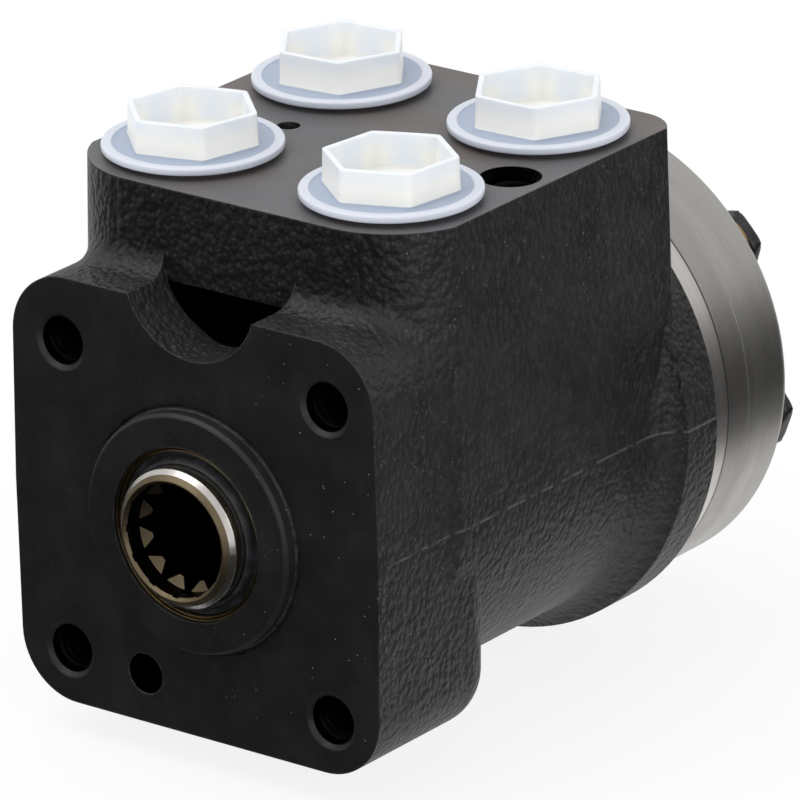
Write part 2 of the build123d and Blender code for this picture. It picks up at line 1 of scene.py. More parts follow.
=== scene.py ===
"""Looks of the orbital steering unit: its finishes, fine shapes and the studio round it.

Everything is in metres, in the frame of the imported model: +Y runs from the column flange to the
end cover, +X is to the right seen from the column, +Z points out of the port face, and the origin
lies on the spool axis in the plane of the column flange.
"""

from __future__ import annotations

import logging
from dataclasses import dataclass
from enum import Enum
from math import asin, ceil, cos, pi, radians, sin, sqrt, tan
from typing import Any, Iterable, Sequence

import bpy
from mathutils import Matrix, Vector, noise


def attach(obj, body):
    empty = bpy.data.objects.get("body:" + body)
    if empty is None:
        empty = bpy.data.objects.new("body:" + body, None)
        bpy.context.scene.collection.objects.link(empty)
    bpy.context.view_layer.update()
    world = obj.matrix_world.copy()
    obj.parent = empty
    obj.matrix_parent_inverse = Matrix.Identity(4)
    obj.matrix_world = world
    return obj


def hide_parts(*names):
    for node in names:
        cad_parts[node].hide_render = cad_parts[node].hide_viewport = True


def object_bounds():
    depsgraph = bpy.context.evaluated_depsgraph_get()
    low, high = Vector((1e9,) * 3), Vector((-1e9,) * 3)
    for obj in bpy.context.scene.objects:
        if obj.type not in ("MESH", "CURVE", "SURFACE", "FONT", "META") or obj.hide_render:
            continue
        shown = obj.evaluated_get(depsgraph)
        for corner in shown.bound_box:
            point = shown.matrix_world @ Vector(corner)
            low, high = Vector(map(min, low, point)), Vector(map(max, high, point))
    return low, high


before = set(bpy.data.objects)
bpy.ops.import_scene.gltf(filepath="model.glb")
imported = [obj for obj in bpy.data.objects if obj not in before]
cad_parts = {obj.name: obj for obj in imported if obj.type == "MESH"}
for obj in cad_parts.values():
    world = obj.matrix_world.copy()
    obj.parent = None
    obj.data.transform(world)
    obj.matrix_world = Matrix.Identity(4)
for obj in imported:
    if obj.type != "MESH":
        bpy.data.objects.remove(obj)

CAD_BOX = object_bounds()
MM = 0.001
PER_METRE = 1000.0
TINY, TINY_ANGLE, NEARLY_HALF = 1e-9, 1e-3, 0.48
SEAM = (100.5,)
SEEING_RAYS = ("Is Camera Ray", "Is Glossy Ray", "Is Transmission Ray")
FLOOR_GAP, CARD_GAP = 0.0002, 0.0005
Colour = tuple[float, float, float]
Point = tuple[float, float, float]
Pair = tuple[float, float]
log = logging.getLogger("steering_unit")


class Body(Enum):
    """The moving bodies that new pieces ride on."""

    HOUSING = "housing"
    PLUG_FRONT_LEFT = "plug_front_left"
    PLUG_FRONT_RIGHT = "plug_front_right"
    PLUG_REAR_LEFT = "plug_rear_left"
    PLUG_REAR_RIGHT = "plug_rear_right"


class Slot(Enum):
    """Names of the record's material slots; no piece in this script takes its finish from them."""

    CASTING = "cast_housing"
    RUBBER = "seal_rubber"
    SEAL_CASE = "cage_bronze"
    PLASTIC = "plug_plastic"
    SCREW = "black_bolt"
    WASHER = "copper_washer"


class Axis(Enum):
    """The directions that turned and threaded shapes are built along."""

    Y = "y"
    Z = "z"

    def place(self, along: float, radius: float, angle: float) -> Vector:
        """A point given by its place along this axis, its radius and its angle."""
        a, b = radius * cos(angle), radius * sin(angle)
        return Vector((a, along, b)) if self is Axis.Y else Vector((a, b, along))


# --- shader trees
Operand = Any


class Wire:
    """One output socket of a shader tree, used as a number, colour or vector in expressions."""

    def __init__(self, tree: Tree, socket: bpy.types.NodeSocket) -> None:
        """Keeps the socket and the tree that new nodes go to."""
        self.tree = tree
        self.socket = socket

    @property
    def wide(self) -> bool:
        """Whether the socket carries a vector or a colour."""
        return self.socket.type in {"VECTOR", "RGBA"}

    def __add__(self, other: Operand) -> Wire:
        """Sum."""
        return self.tree.sum("ADD", self, other)

    def __radd__(self, other: Operand) -> Wire:
        """Sum, reflected."""
        return self.tree.sum("ADD", other, self)

    def __sub__(self, other: Operand) -> Wire:
        """Difference."""
        return self.tree.sum("SUBTRACT", self, other)

    def __rsub__(self, other: Operand) -> Wire:
        """Difference, reflected."""
        return self.tree.sum("SUBTRACT", other, self)

    def __mul__(self, other: Operand) -> Wire:
        """Product."""
        return self.tree.sum("MULTIPLY", self, other)

    def __rmul__(self, other: Operand) -> Wire:
        """Product, reflected."""
        return self.tree.sum("MULTIPLY", other, self)

    def __neg__(self) -> Wire:
        """The value with its sign changed."""
        return self.tree.sum("MULTIPLY", self, -1.0)

    def __abs__(self) -> Wire:
        """The value without its sign."""
        return self.tree.maths("ABSOLUTE", self)

    def parts(self) -> tuple[Wire, Wire, Wire]:
        """The three components of a vector."""
        node = self.tree.node("ShaderNodeSeparateXYZ", sockets={"Vector": self})
        return tuple(Wire(self.tree, s) for s in node.outputs)

    def rise(self, low: float, high: float) -> Wire:
        """A smooth step from 0 at low to 1 at high."""
        node = self.tree.node(
            "ShaderNodeMapRange",
            {"interpolation_type": "SMOOTHSTEP"},
            {"Value": self, "From Min": low, "From Max": high},
        )
        return Wire(self.tree, node.outputs[0])

    def fall(self, low: float, high: float) -> Wire:
        """A smooth step from 1 at low to 0 at high."""
        return 1.0 - self.rise(low, high)

    def most(self, other: Operand) -> Wire:
        """The larger of two numbers."""
        return self.tree.maths("MAXIMUM", self, other)

    def span(self, other: Wire) -> Wire:
        """The length of the line that has these two numbers as its sides."""
        return self.tree.maths("SQRT", self * self + other * other)


class Tree:
    """The node tree of one material or world, with the calls that add to it."""

    def __init__(self, name: str, owner: bpy.types.World | None = None) -> None:
        """Makes an empty material, or empties the tree of a world.

        Args:
            name: The material's name.
            owner: The world whose tree is built instead.
        """
        self.material = owner or bpy.data.materials.new(name)
        self.material.use_nodes = True
        self.nodes = self.material.node_tree.nodes
        self.links = self.material.node_tree.links
        self.nodes.clear()

    def node(
        self,
        kind: str,
        settings: dict[str, Any] | None = None,
        sockets: dict[Any, Operand] | None = None,
    ) -> bpy.types.Node:
        """Adds one node.

        Args:
            kind: The node's type.
            settings: Its properties, set first.
            sockets: Values or wires for its inputs, by name, identifier or index.

        Returns:
            The new node.
        """
        node = self.nodes.new(kind)
        for key, value in (settings or {}).items():
            setattr(node, key, value)
        for key, value in (sockets or {}).items():
            self.feed(self.find(node.inputs, key), value)
        return node

    @staticmethod
    def find(sockets: Any, key: Any) -> bpy.types.NodeSocket:
        """The socket of that index, identifier or name."""
        if isinstance(key, int):
            return sockets[key]
        for socket in sockets:
            if socket.identifier == key:
                return socket
        return sockets[key]

    def feed(self, socket: bpy.types.NodeSocket, value: Operand) -> None:
        """Links a wire to an input, or sets its value.

        Args:
            socket: The input.
            value: A wire, a number, or three numbers.
        """
        if isinstance(value, Wire):
            self.links.new(value.socket, socket)
        elif socket.type == "RGBA" and not isinstance(value, (int, float)):
            socket.default_value = (*value, 1.0) if len(value) == 3 else value
        elif socket.type == "VECTOR" and isinstance(value, (int, float)):
            socket.default_value = (value,) * 3
        else:
            socket.default_value = value

    def maths(self, operation: str, *values: Operand) -> Wire:
        """A Math node on numbers."""
        node = self.node("ShaderNodeMath", {"operation": operation}, dict(enumerate(values)))
        return Wire(self, node.outputs[0])

    def sum(self, operation: str, first: Operand, second: Operand) -> Wire:
        """A Math node, or a Vector Math node where either value is a vector or colour.

        Args:
            operation: ADD, SUBTRACT or MULTIPLY.
            first: The left value.
            second: The right value.

        Returns:
            The result.
        """
        both = (first, second)
        if not any(v.wide if isinstance(v, Wire) else isinstance(v, tuple) for v in both):
            return self.maths(operation, first, second)
        node = self.node("ShaderNodeVectorMath", {"operation": operation}, {0: first, 1: second})
        return Wire(self, node.outputs[0])

    def mix(self, factor: Operand, low: Operand, high: Operand) -> Wire:
        """A colour between two colours, the first at a factor of 0."""
        node = self.node(
            "ShaderNodeMix",
            {"data_type": "RGBA"},
            {"Factor_Float": factor, "A_Color": low, "B_Color": high},
        )
        return Wire(self, self.find(node.outputs, "Result_Color"))

    def between(self, factor: Wire, low: float, high: float) -> Wire:
        """A number between two numbers."""
        return low + factor * (high - low)

    def node_vector(self, x: Operand, y: Operand, z: Operand) -> Wire:
        """A vector made of three numbers."""
        node = self.node("ShaderNodeCombineXYZ", sockets={0: x, 1: y, 2: z})
        return Wire(self, node.outputs[0])

    def place(self) -> Wire:
        """Where a point lies on its own object, in millimetres."""
        return Wire(self, self.node("ShaderNodeTexCoord").outputs["Object"]) * PER_METRE

    def facing(self) -> Wire:
        """The surface's own direction."""
        return Wire(self, self.node("ShaderNodeTexCoord").outputs["Normal"])

    def cloud(self, at: Wire, scale: float, detail: float = 2.0, rough: float = 0.5) -> Wire:
        """Soft noise from 0 to 1: lumps per millimetre, finer layers and their strength."""
        node = self.node(
            "ShaderNodeTexNoise",
            sockets={"Vector": at, "Scale": scale, "Detail": detail, "Roughness": rough},
        )
        return Wire(self, node.outputs[0])

    def cells(
        self, at: Wire, scale: float, feature: str = "F1", smooth: float = 0.5
    ) -> tuple[Wire, Wire]:
        """Distances from scattered points, and a random number for each point.

        Args:
            at: The place, in millimetres.
            scale: Points per millimetre.
            feature: Which distance is measured.
            smooth: How far neighbours blend, for the smooth feature.

        Returns:
            The distance and the random number.
        """
        sockets: dict[Any, Operand] = {"Vector": at, "Scale": scale}
        if feature == "SMOOTH_F1":
            sockets["Smoothness"] = smooth
        node = self.node("ShaderNodeTexVoronoi", {"feature": feature}, sockets)
        tint = self.node(
            "ShaderNodeSeparateColor", sockets={0: Wire(self, node.outputs["Color"])}
        )
        return Wire(self, node.outputs["Distance"]), Wire(self, tint.outputs[0])

    def specks(self, at: Wire, scale: float, size: float, share: float) -> Wire:
        """1 on small round specks: places per millimetre, radius there, share that has one."""
        distance, chance = self.cells(at, scale)
        return distance.fall(size * 0.6, size) * chance.rise(1.0 - share, 1.001 - share)

    def softened(self, radius: float) -> Wire:
        """The normal with every edge rounded by that radius in millimetres."""
        node = self.node("ShaderNodeBevel", {"samples": 6}, {"Radius": radius * MM})
        return Wire(self, node.outputs[0])

    def edges(self, rounded: Wire, low: float, high: float) -> Wire:
        """Where the rounded normal leaves the true one.

        Args:
            rounded: The rounded normal.
            low: Difference at which the edge starts to show.
            high: Difference at which it shows fully.

        Returns:
            1 along edges and 0 elsewhere.
        """
        true = Wire(self, self.node("ShaderNodeNewGeometry").outputs["Normal"])
        node = self.node(
            "ShaderNodeVectorMath", {"operation": "DOT_PRODUCT"}, {0: rounded, 1: true}
        )
        return (1.0 - Wire(self, node.outputs["Value"])).rise(low, high)

    def bump(self, height: Wire, depth: float, normal: Wire | None = None) -> Wire:
        """A normal tilted by a height.

        Args:
            height: The height, 0 to 1.
            depth: What a height of 1 is, in millimetres.
            normal: The normal that it starts from.

        Returns:
            The tilted normal.
        """
        sockets = {"Height": height, "Distance": depth * MM, "Strength": 1.0}
        if normal is not None:
            sockets["Normal"] = normal
        return Wire(self, self.node("ShaderNodeBump", sockets=sockets).outputs[0])

    def close(self, sockets: dict[str, Operand]) -> None:
        """Ends the tree in one surface shader with those inputs."""
        self.show(self.node("ShaderNodeBsdfPrincipled", sockets=sockets))

    def show(self, shader: bpy.types.Node, output: str = "ShaderNodeOutputMaterial") -> None:
        """Sends a shader to an output node of that type."""
        self.node(output, sockets={"Surface": Wire(self, shader.outputs[0])})

    def path(self, *rays: str) -> Wire:
        """1 on rays of any of those kinds and 0 on others."""
        node = self.node("ShaderNodeLightPath")
        seen = Wire(self, node.outputs[rays[0]])
        for ray in rays[1:]:
            seen = seen.most(Wire(self, node.outputs[ray]))
        return seen


# --- finishes
def toned(colour: Colour, share: float) -> Colour:
    """The colour made darker or lighter by that share, up to white."""
    return tuple(min(1.0, share * c) for c in colour)


@dataclass(frozen=True)
class Finish:
    """A finish that can be put on a piece, with its sizes in millimetres."""

    name: str

    def shade(self, tree: Tree) -> None:
        """Adds the finish's nodes to a tree."""
        raise NotImplementedError

    def material(self) -> bpy.types.Material:
        """The finish as a material, made the first time it is asked for."""
        label = f"finish_{self.name}"
        found = bpy.data.materials.get(label)
        if found is None:
            tree = Tree(label)
            self.shade(tree)
            found = tree.material
        return found

    def dress(self, piece: bpy.types.Object) -> None:
        """Puts this finish on the whole of a piece."""
        piece.data.materials.clear()
        piece.data.materials.append(self.material())
        if piece.type == "MESH":
            for face in piece.data.polygons:
                face.material_index = 0


@dataclass(frozen=True)
class CoatedIron(Finish):
    """Black-coated sand casting with machined faces, all told apart by place and direction."""

    coat: Colour = (0.0135, 0.0130, 0.0132)
    machined: Colour = (0.0078, 0.0080, 0.0084)
    # lighter tone for coat worn off raised pebbles and edges, which also serves as painted
    # highlight there
    wear_and_highlight: Colour = (0.075, 0.071, 0.068)
    face: Colour = (0.112, 0.113, 0.118)
    face_warm: Colour = (0.125, 0.108, 0.102)
    speck: Colour = (0.21, 0.20, 0.18)
    flash_tone: Colour = (0.12, 0.105, 0.10)
    painted_glint: Colour = (0.4, 0.4, 0.4)
    # near-black painted shade for the insides of the holes and the hollow behind the notch
    painted_hole_shade: Colour = (0.0010, 0.0010, 0.0010)
    port_face: float = 57.4
    parting: float = 1.5
    relief_depth: float = 0.50
    rounding: float = 0.55
    edge_wear_and_highlight: float = 0.6
    chamfer: float = 5.6
    mount_offset: float = 29.185
    mount_hole: float = 4.5
    screw: Pair = (32.3, 50.5)
    screw_hole: float = 5.7
    screw_end: Pair = (38.0, 39.0)
    vent: Pair = (-12.0, -29.8)
    vent_hole: float = 4.0
    hole_end: Pair = (20.0, 21.0)
    blur: float = 0.1
    notch_front: Pair = (10.7, 11.1)
    notch_back: Pair = (17.0, 18.0)
    notch_floor: Pair = (28.0, 29.0)
    notch_roof: Pair = (40.5, 40.7)
    notch_side: Pair = (13.9, 14.3)

    def from_mount(self, x: Wire, z: Wire) -> Wire:
        """Distance from the axis of the nearest column hole."""
        return (abs(x) - self.mount_offset).span(abs(z) - self.mount_offset)

    def hollows(self, x: Wire, y: Wire, z: Wire) -> Wire:
        """Where the surface lies inside a hole or the hollow behind the notch, the places painted
        as shade.

        Args:
            x: Place across.
            y: Place along the spool.
            z: Place upwards.

        Returns:
            1 inside and 0 elsewhere.
        """
        face, blur = self.port_face, self.blur
        mounts = self.from_mount(x, z).fall(self.mount_hole - blur, self.mount_hole + blur)
        mounts = mounts * y.rise(0.3, 0.8) * y.fall(*self.hole_end)
        vent = (x - self.vent[0]).span(z - self.vent[1])
        vent = vent.fall(self.vent_hole - blur, self.vent_hole)
        vent = vent * y.rise(0.2, 0.5) * y.fall(*self.hole_end)
        screws = (abs(x) - self.screw[0]).span(y - self.screw[1])
        screws = screws.fall(self.screw_hole - blur, self.screw_hole)
        screws = screws * z.fall(face - 0.12, face - 0.04) * z.rise(*self.screw_end)
        notch = y.rise(*self.notch_front) * y.fall(*self.notch_back)
        notch = notch * z.rise(*self.notch_floor) * z.fall(*self.notch_roof)
        notch = notch * abs(x).fall(*self.notch_side)
        return mounts.most(screws).most(notch).most(vent)

    def shade(self, tree: Tree) -> None:
        """Adds the finish's nodes to a tree."""
        p = tree.place()
        x, y, z = p.parts()
        nx, ny, nz = tree.facing().parts()
        top = z.rise(self.port_face - 0.35, self.port_face - 0.15) * nz.rise(0.7, 0.9)
        front = (-ny).rise(0.7, 0.9) * y.fall(1.0, 1.6)
        smooth = top.most(front).most(y.fall(-0.1, 0.0))
        mouths = self.from_mount(x, z).fall(self.chamfer - self.blur, self.chamfer)
        smooth = smooth.most(mouths * y.fall(1.8, 2.0))

        loose = p * (1.0, 1.0, 0.85)
        pebble, _ = tree.cells(loose, 0.92, "SMOOTH_F1", 0.5)
        pits, _ = tree.cells(loose + 17.0, 0.55, "SMOOTH_F1", 0.3)
        lumps = tree.cloud(loose, 0.55, 2.0, 0.55)
        grit = tree.cloud(loose, 1.7, 2.0, 0.6)
        relief = lumps * 0.7 + pits * 0.4 - pebble * 0.62 + grit * 0.3
        wander = (tree.cloud(p, 0.10, 2.0) - 0.5) * 0.5
        flash = abs(z - self.parting + wander).fall(0.13, 0.32) * abs(nx).rise(0.3, 0.6)
        flash = flash * y.rise(2.0, 4.0) * tree.cloud(p, 0.45, 2.0).rise(0.38, 0.60)
        cast = (1.0 - smooth) * (relief + flash * 0.5)
        mill = tree.cloud(p * (0.35, 6.0, 1.0), 0.8, 2.0) * 0.03
        fine = tree.cloud(p, 2.4, 3.0, 0.65) * 0.055

        rounded = tree.softened(self.rounding)
        rim = tree.edges(rounded, 0.02, 0.2)
        normal = tree.bump(cast + smooth * (mill + fine), self.relief_depth, rounded)

        mottled = tree.cloud(p, 0.09, 4.0, 0.65)
        coat = tree.mix(front, self.coat, self.machined)
        coat = tree.mix(mottled.rise(0.35, 0.75) * 0.6, coat, coat * 2.0)
        # painted shade: cast faces turned towards the column, other than the machined flange face,
        # are darkened to a quarter
        coat = tree.mix((-ny).rise(0.6, 0.9) * 0.85 * (1.0 - front), coat, coat * 0.25)
        # wear and painted highlight: raised pebbles of the cast skin are lightened
        coat = tree.mix((1.0 - smooth) * relief.rise(0.30, 0.90) * 0.2, coat, self.wear_and_highlight)
        coat = tree.mix(flash * 0.6, coat, self.flash_tone)
        # wear and painted highlight: edges are lightened in patches where the rounded normal
        # leaves the true one
        wear_and_highlit_edges = rim * tree.cloud(p, 0.6, 2.0).rise(0.35, 0.7) * self.edge_wear_and_highlight
        coat = tree.mix(wear_and_highlit_edges, coat, self.wear_and_highlight)
        dust = tree.specks(p, 0.62, 0.11, 0.36) * (0.2 + 0.8 * x.rise(-2.0, 26.0))
        dust = dust.most(tree.specks(p + 31.0, 1.4, 0.11, 0.07) * 0.6)
        coat = tree.mix(dust * 0.65, coat, self.speck)
        ground = tree.mix(tree.cloud(p, 0.035, 2.0).rise(0.4, 0.62), self.face, self.face_warm)
        ground = tree.mix(mottled.rise(0.35, 0.8) * 0.35, ground, toned(self.face, 0.75))
        # painted highlight: scattered bright specks on the machined port face stand in for glints
        ground = tree.mix(tree.specks(p, 0.3, 0.05, 0.3), ground, self.painted_glint)
        # painted shade: the holes and the hollow behind the notch are painted near-black, and made
        # metallic and rough, in place of their shade
        hollow = self.hollows(x, y, z)
        colour = tree.mix(hollow, tree.mix(top, coat, ground), self.painted_hole_shade)

        rough = tree.between(mottled, 0.40, 0.54) - smooth * 0.02 - flash * 0.05
        tree.close({
            "Base Color": colour,
            "Metallic": hollow,
            "Roughness": tree.between(hollow, 0.0, 0.9).most(rough),
            "Normal": normal,
            "Specular IOR Level": 0.34,
        })


@dataclass(frozen=True)
class TurnedSteel(Finish):
    """Bare steel turned or ground round the Y axis, with oil-dark edges."""

    metal: Colour = (0.40, 0.385, 0.37)
    stain: Colour = (0.25, 0.225, 0.20)
    rough: float = 0.36
    lines: float = 2.2
    depth: float = 0.02
    seam_dirt: Colour = (0.018, 0.015, 0.012)
    pit: Colour = (0.06, 0.05, 0.045)
    edges_at: tuple[float, ...] = ()
    outside: float = 43.0

    def shade(self, tree: Tree) -> None:
        """Adds the finish's nodes to a tree."""
        p = tree.place()
        x, y, z = p.parts()
        radius = x.span(z)
        round_axis = p * (0.02, 1.0, 0.02)
        wide_bands = tree.cloud(round_axis, 0.35, 2.0, 0.6)
        bands = tree.cloud(round_axis + 7.0, self.lines, 3.0, 0.7)
        rings = tree.cloud(tree.node_vector(radius, 0.0, 0.0), self.lines, 3.0, 0.7)
        _, ny, _ = tree.facing().parts()
        flat = abs(ny).rise(0.6, 0.9)
        cut = bands * (1.0 - flat) + rings * flat
        smear = tree.cloud(p, 0.05, 4.0, 0.6)
        colour = tree.mix(smear.rise(0.42, 0.72) * 0.5, self.metal, self.stain)
        colour = tree.mix(wide_bands.rise(0.35, 0.7) * 0.35, colour, toned(self.metal, 1.25))
        colour = tree.mix(cut.rise(0.3, 0.8) * 0.25, colour, self.stain)
        for place in self.edges_at:
            seam = abs(y - place).fall(0.08, 0.30) * radius.rise(self.outside, self.outside + 0.2)
            colour = tree.mix(seam * 0.88, colour, self.seam_dirt)
        colour = tree.mix(tree.specks(p, 0.25, 0.05, 0.25) * 0.6, colour, self.pit)
        rounded = tree.softened(0.25)
        tree.close({
            "Base Color": colour,
            "Metallic": 1.0,
            "Roughness": tree.between(smear, self.rough - 0.05, self.rough + 0.13),
            "Normal": tree.bump(cut + wide_bands * 0.4, self.depth, rounded),
        })


@dataclass(frozen=True)
class ValveSteel(Finish):
    """Hardened, ground valve steel, with the broached teeth of its socket left matt and its depths
    painted near-black as shade.
    """

    metal: Colour = (0.60, 0.575, 0.545)
    socket: Colour = (0.22, 0.175, 0.11)
    painted_socket_shade: Colour = (0.006, 0.005, 0.004)
    socket_radius: float = 12.05
    dark_from: float = 1.0
    rough: float = 0.2

    def shade(self, tree: Tree) -> None:
        """Adds the finish's nodes to a tree."""
        p = tree.place()
        x, y, z = p.parts()
        radius = x.span(z)
        _, ny, _ = tree.facing().parts()
        inside = radius.fall(self.socket_radius, self.socket_radius + 0.05)
        # painted shade: tooth flanks and the socket beyond its front are painted near-black
        shaded_depth_mask = abs(ny).fall(0.4, 0.7).most(y.rise(self.dark_from, self.dark_from + 1.0))
        scores = tree.cloud(p * (0.05, 1.0, 0.05), 5.0, 3.0, 0.6)
        rings = tree.cloud(tree.node_vector(radius, 0.0, 0.0), 5.0, 3.0, 0.6)
        cut = scores * 0.5 + rings * 0.5
        haze = tree.cloud(p, 0.35, 3.0, 0.6)
        bright = tree.mix(haze.rise(0.4, 0.75) * 0.35, self.metal, toned(self.metal, 0.7))
        dull = tree.mix(haze, self.socket, toned(self.socket, 0.55))
        dull = tree.mix(shaded_depth_mask, dull, self.painted_socket_shade)
        rounded = tree.softened(0.3)
        tree.close({
            "Base Color": tree.mix(inside, bright, dull),
            "Metallic": 1.0,
            "Roughness": tree.between(inside, self.rough, 0.45) + haze * 0.08,
            "Normal": tree.bump(cut, 0.006, rounded),
        })


@dataclass(frozen=True)
class PlainMetal(Finish):
    """Metal with a fine grain: fasteners, washers, needles, springs and other small parts."""

    metal: Colour = (0.5, 0.5, 0.5)
    stain: Colour = (0.3, 0.3, 0.3)
    rough: float = 0.4
    metallic: float = 1.0
    grain: float = 2.0
    depth: float = 0.02
    edge: float = 0.25
    edge_tint: Colour | None = None

    def shade(self, tree: Tree) -> None:
        """Adds the finish's nodes to a tree."""
        p = tree.place()
        grain = tree.cloud(p, self.grain, 3.0, 0.65)
        patch = tree.cloud(p, 0.18, 3.0, 0.6)
        rounded = tree.softened(self.edge)
        colour = tree.mix(patch.rise(0.35, 0.7), self.metal, self.stain)
        colour = tree.mix(grain.rise(0.45, 0.75) * 0.3, colour, toned(self.stain, 0.6))
        # edges lightened, as wear and painted highlight
        if self.edge_tint is not None:
            colour = tree.mix(tree.edges(rounded, 0.02, 0.2) * 0.7, colour, self.edge_tint)
        tree.close({
            "Base Color": colour,
            "Metallic": self.metallic,
            "Roughness": tree.between(patch, self.rough - 0.06, self.rough + 0.1),
            "Normal": tree.bump(grain, self.depth, rounded),
        })


@dataclass(frozen=True)
class Rubber(Finish):
    """Moulded seal rubber with a faint bloom."""

    body: Colour = (0.012, 0.012, 0.013)
    bloom: Colour = (0.035, 0.04, 0.05)
    rough: float = 0.42

    def shade(self, tree: Tree) -> None:
        """Adds the finish's nodes to a tree."""
        p = tree.place()
        film = tree.cloud(p, 0.4, 3.0, 0.6)
        grain = tree.cloud(p, 4.0, 2.0, 0.6)
        tree.close({
            "Base Color": tree.mix(film.rise(0.4, 0.8), self.body, self.bloom),
            "Roughness": tree.between(film, self.rough, self.rough + 0.2),
            "Normal": tree.bump(grain, 0.015, tree.softened(0.15)),
        })


@dataclass(frozen=True)
class ClearPlastic(Finish):
    """Natural polyethylene: milky where it is thick, grey-blue where it is thin over the iron."""

    wall: Colour = (0.88, 0.875, 0.835)
    lip: Colour = (0.77, 0.81, 0.87)
    thin: Colour = (0.36, 0.425, 0.54)
    rim: Colour = (0.63, 0.66, 0.74)
    hexagon: float = 13.0
    rim_radius: float = 14.5
    wall_top: float = 8.5
    flange_top: float = 2.5

    def shade(self, tree: Tree) -> None:
        """Adds the finish's nodes to a tree."""
        p = tree.place()
        x, y, z = p.parts()
        radius = x.span(y)
        milk = tree.cloud(p, 0.16, 2.0)
        wall = tree.mix(z.rise(self.wall_top - 4.0, self.wall_top - 0.5), self.wall, self.lip)
        wall = tree.mix(milk.rise(0.35, 0.7) * 0.35, wall, toned(self.wall, 1.05))
        inside = radius.fall(self.hexagon - 3.6, self.hexagon - 2.6)
        inside = inside * z.rise(self.flange_top - 0.3, self.flange_top + 1.0)
        wall = tree.mix(inside, wall, self.lip)
        bead = radius.rise(self.rim_radius - 0.25, self.rim_radius + 0.15)
        plate = tree.mix(bead, self.thin, self.rim)
        _, _, nz = tree.facing().parts()
        low = z.fall(self.flange_top, self.flange_top + 0.15) * nz.rise(0.3, 0.7)
        low = low.most(radius.rise(self.hexagon, self.hexagon + 0.3) * z.rise(0.8, 0.9))
        low = low * radius.rise(self.hexagon - 2.05, self.hexagon - 1.95)
        dents = tree.cloud(p, 0.35, 2.0) * 0.8 + tree.cloud(p, 3.0, 2.0) * 0.06
        tree.close({
            "Base Color": tree.mix(low, wall, plate),
            "Roughness": tree.between(milk, 0.30, 0.44),
            "Normal": tree.bump(dents, 0.05),
            "Subsurface Weight": 0.45,
            "Subsurface Radius": (1.0, 1.0, 1.0),
            "Subsurface Scale": 0.0016,
            "IOR": 1.5,
        })


# --- meshes
def stand(name: str, data: bpy.types.ID) -> bpy.types.Object:
    """Puts a new object with that data into the scene."""
    thing = bpy.data.objects.new(name, data)
    bpy.context.scene.collection.objects.link(thing)
    return thing


class Shell:
    """A mesh in the making: points, faces and the calls that lay rings and ribbons."""

    def __init__(self) -> None:
        """Starts with nothing."""
        self.points: list[Vector] = []
        self.faces: list[tuple[int, ...]] = []

    def ring(self, points: Iterable[Vector]) -> list[int]:
        """Adds points and returns their numbers."""
        start = len(self.points)
        self.points.extend(points)
        return list(range(start, len(self.points)))

    def bridge(self, low: Sequence[int], high: Sequence[int], closed: bool = True) -> None:
        """Lays quads between two rows of points.

        Args:
            low: Numbers of the first row's points.
            high: Numbers of the second row's points.
            closed: Whether the rows are rings.
        """
        count = len(low)
        for k in range(count if closed else count - 1):
            j = (k + 1) % count
            self.faces.append((low[k], low[j], high[j], high[k]))

    def cap(self, row: Sequence[int], turned: bool = False) -> None:
        """Closes a ring with one fan about its middle."""
        middle = self.ring([sum((self.points[i] for i in row), Vector()) / len(row)])[0]
        for k in range(len(row)):
            face = (row[k], row[(k + 1) % len(row)], middle)
            self.faces.append(face[::-1] if turned else face)

    def tube(self, rows: Sequence[Sequence[int]]) -> None:
        """Joins rings into a tube and caps both its ends."""
        for low, high in zip(rows, rows[1:]):
            self.bridge(low, high)
        self.cap(rows[-1])
        self.cap(rows[0], turned=True)

    def piece(self, name: str, finish: Finish, at: Point = (0.0, 0.0, 0.0)) -> bpy.types.Object:
        """Makes the smooth-shaded object, with its own origin at a place.

        Args:
            name: The piece's name.
            finish: Its finish.
            at: Where its origin lies.

        Returns:
            The new object.
        """
        mesh = bpy.data.meshes.new(name)
        mesh.from_pydata([tuple(p) for p in self.points], [], self.faces)
        mesh.validate()
        mesh.update()
        thing = stand(name, mesh)
        thing.location = at
        mesh.shade_smooth()
        finish.dress(thing)
        return thing


def settle(piece: bpy.types.Object, body: Body, replaced: Sequence[str] = ()) -> None:
    """Hangs a finished piece on its body and reports it.

    Args:
        piece: The piece.
        body: The body that it rides on.
        replaced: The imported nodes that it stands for.
    """
    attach(piece, body.value)
    if replaced:
        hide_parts(*replaced)
    log.info("piece %s rides on %s, %d faces", piece.name, body.value, len(piece.data.polygons))


def fillet(corners: Sequence[Point], steps: int = 4) -> list[Pair]:
    """Rounds the corners of an open outline.

    Args:
        corners: Points (a, b, radius); the ends keep their place.
        steps: Pieces of arc at each corner.

    Returns:
        The outline with its corners replaced by arcs.
    """
    line: list[Pair] = [corners[0][:2]]
    for before, here, after in zip(corners, corners[1:], corners[2:]):
        p = Vector(here[:2])
        a, b = Vector(before[:2]) - p, Vector(after[:2]) - p
        if here[2] <= 0.0 or min(a.length, b.length) < TINY:
            line.append(tuple(p))
            continue
        half = a.angle(b) / 2
        room = NEARLY_HALF * min(a.length, b.length)
        reach = min(here[2] / tan(half), room) if half > TINY_ANGLE else 0.0
        start, end = p + a.normalized() * reach, p + b.normalized() * reach
        for k in range(steps + 1):
            t = k / steps
            line.append(tuple(start * (1 - t) ** 2 + p * 2 * t * (1 - t) + end * t * t))
    line.append(corners[-1][:2])
    return line


def lathe(outline: Sequence[Pair], axis: Axis, segments: int) -> Shell:
    """Turns a closed outline round an axis.

    Args:
        outline: Points (radius, place along the axis) in metres.
        axis: The axis.
        segments: Points round the axis.

    Returns:
        The turned shell.
    """
    shell = Shell()
    rows = [
        shell.ring(axis.place(along, radius, 2 * pi * k / segments) for k in range(segments))
        for radius, along in outline
    ]
    for low, high in zip(rows, rows[1:] + rows[:1]):
        shell.bridge(low, high)
    return shell


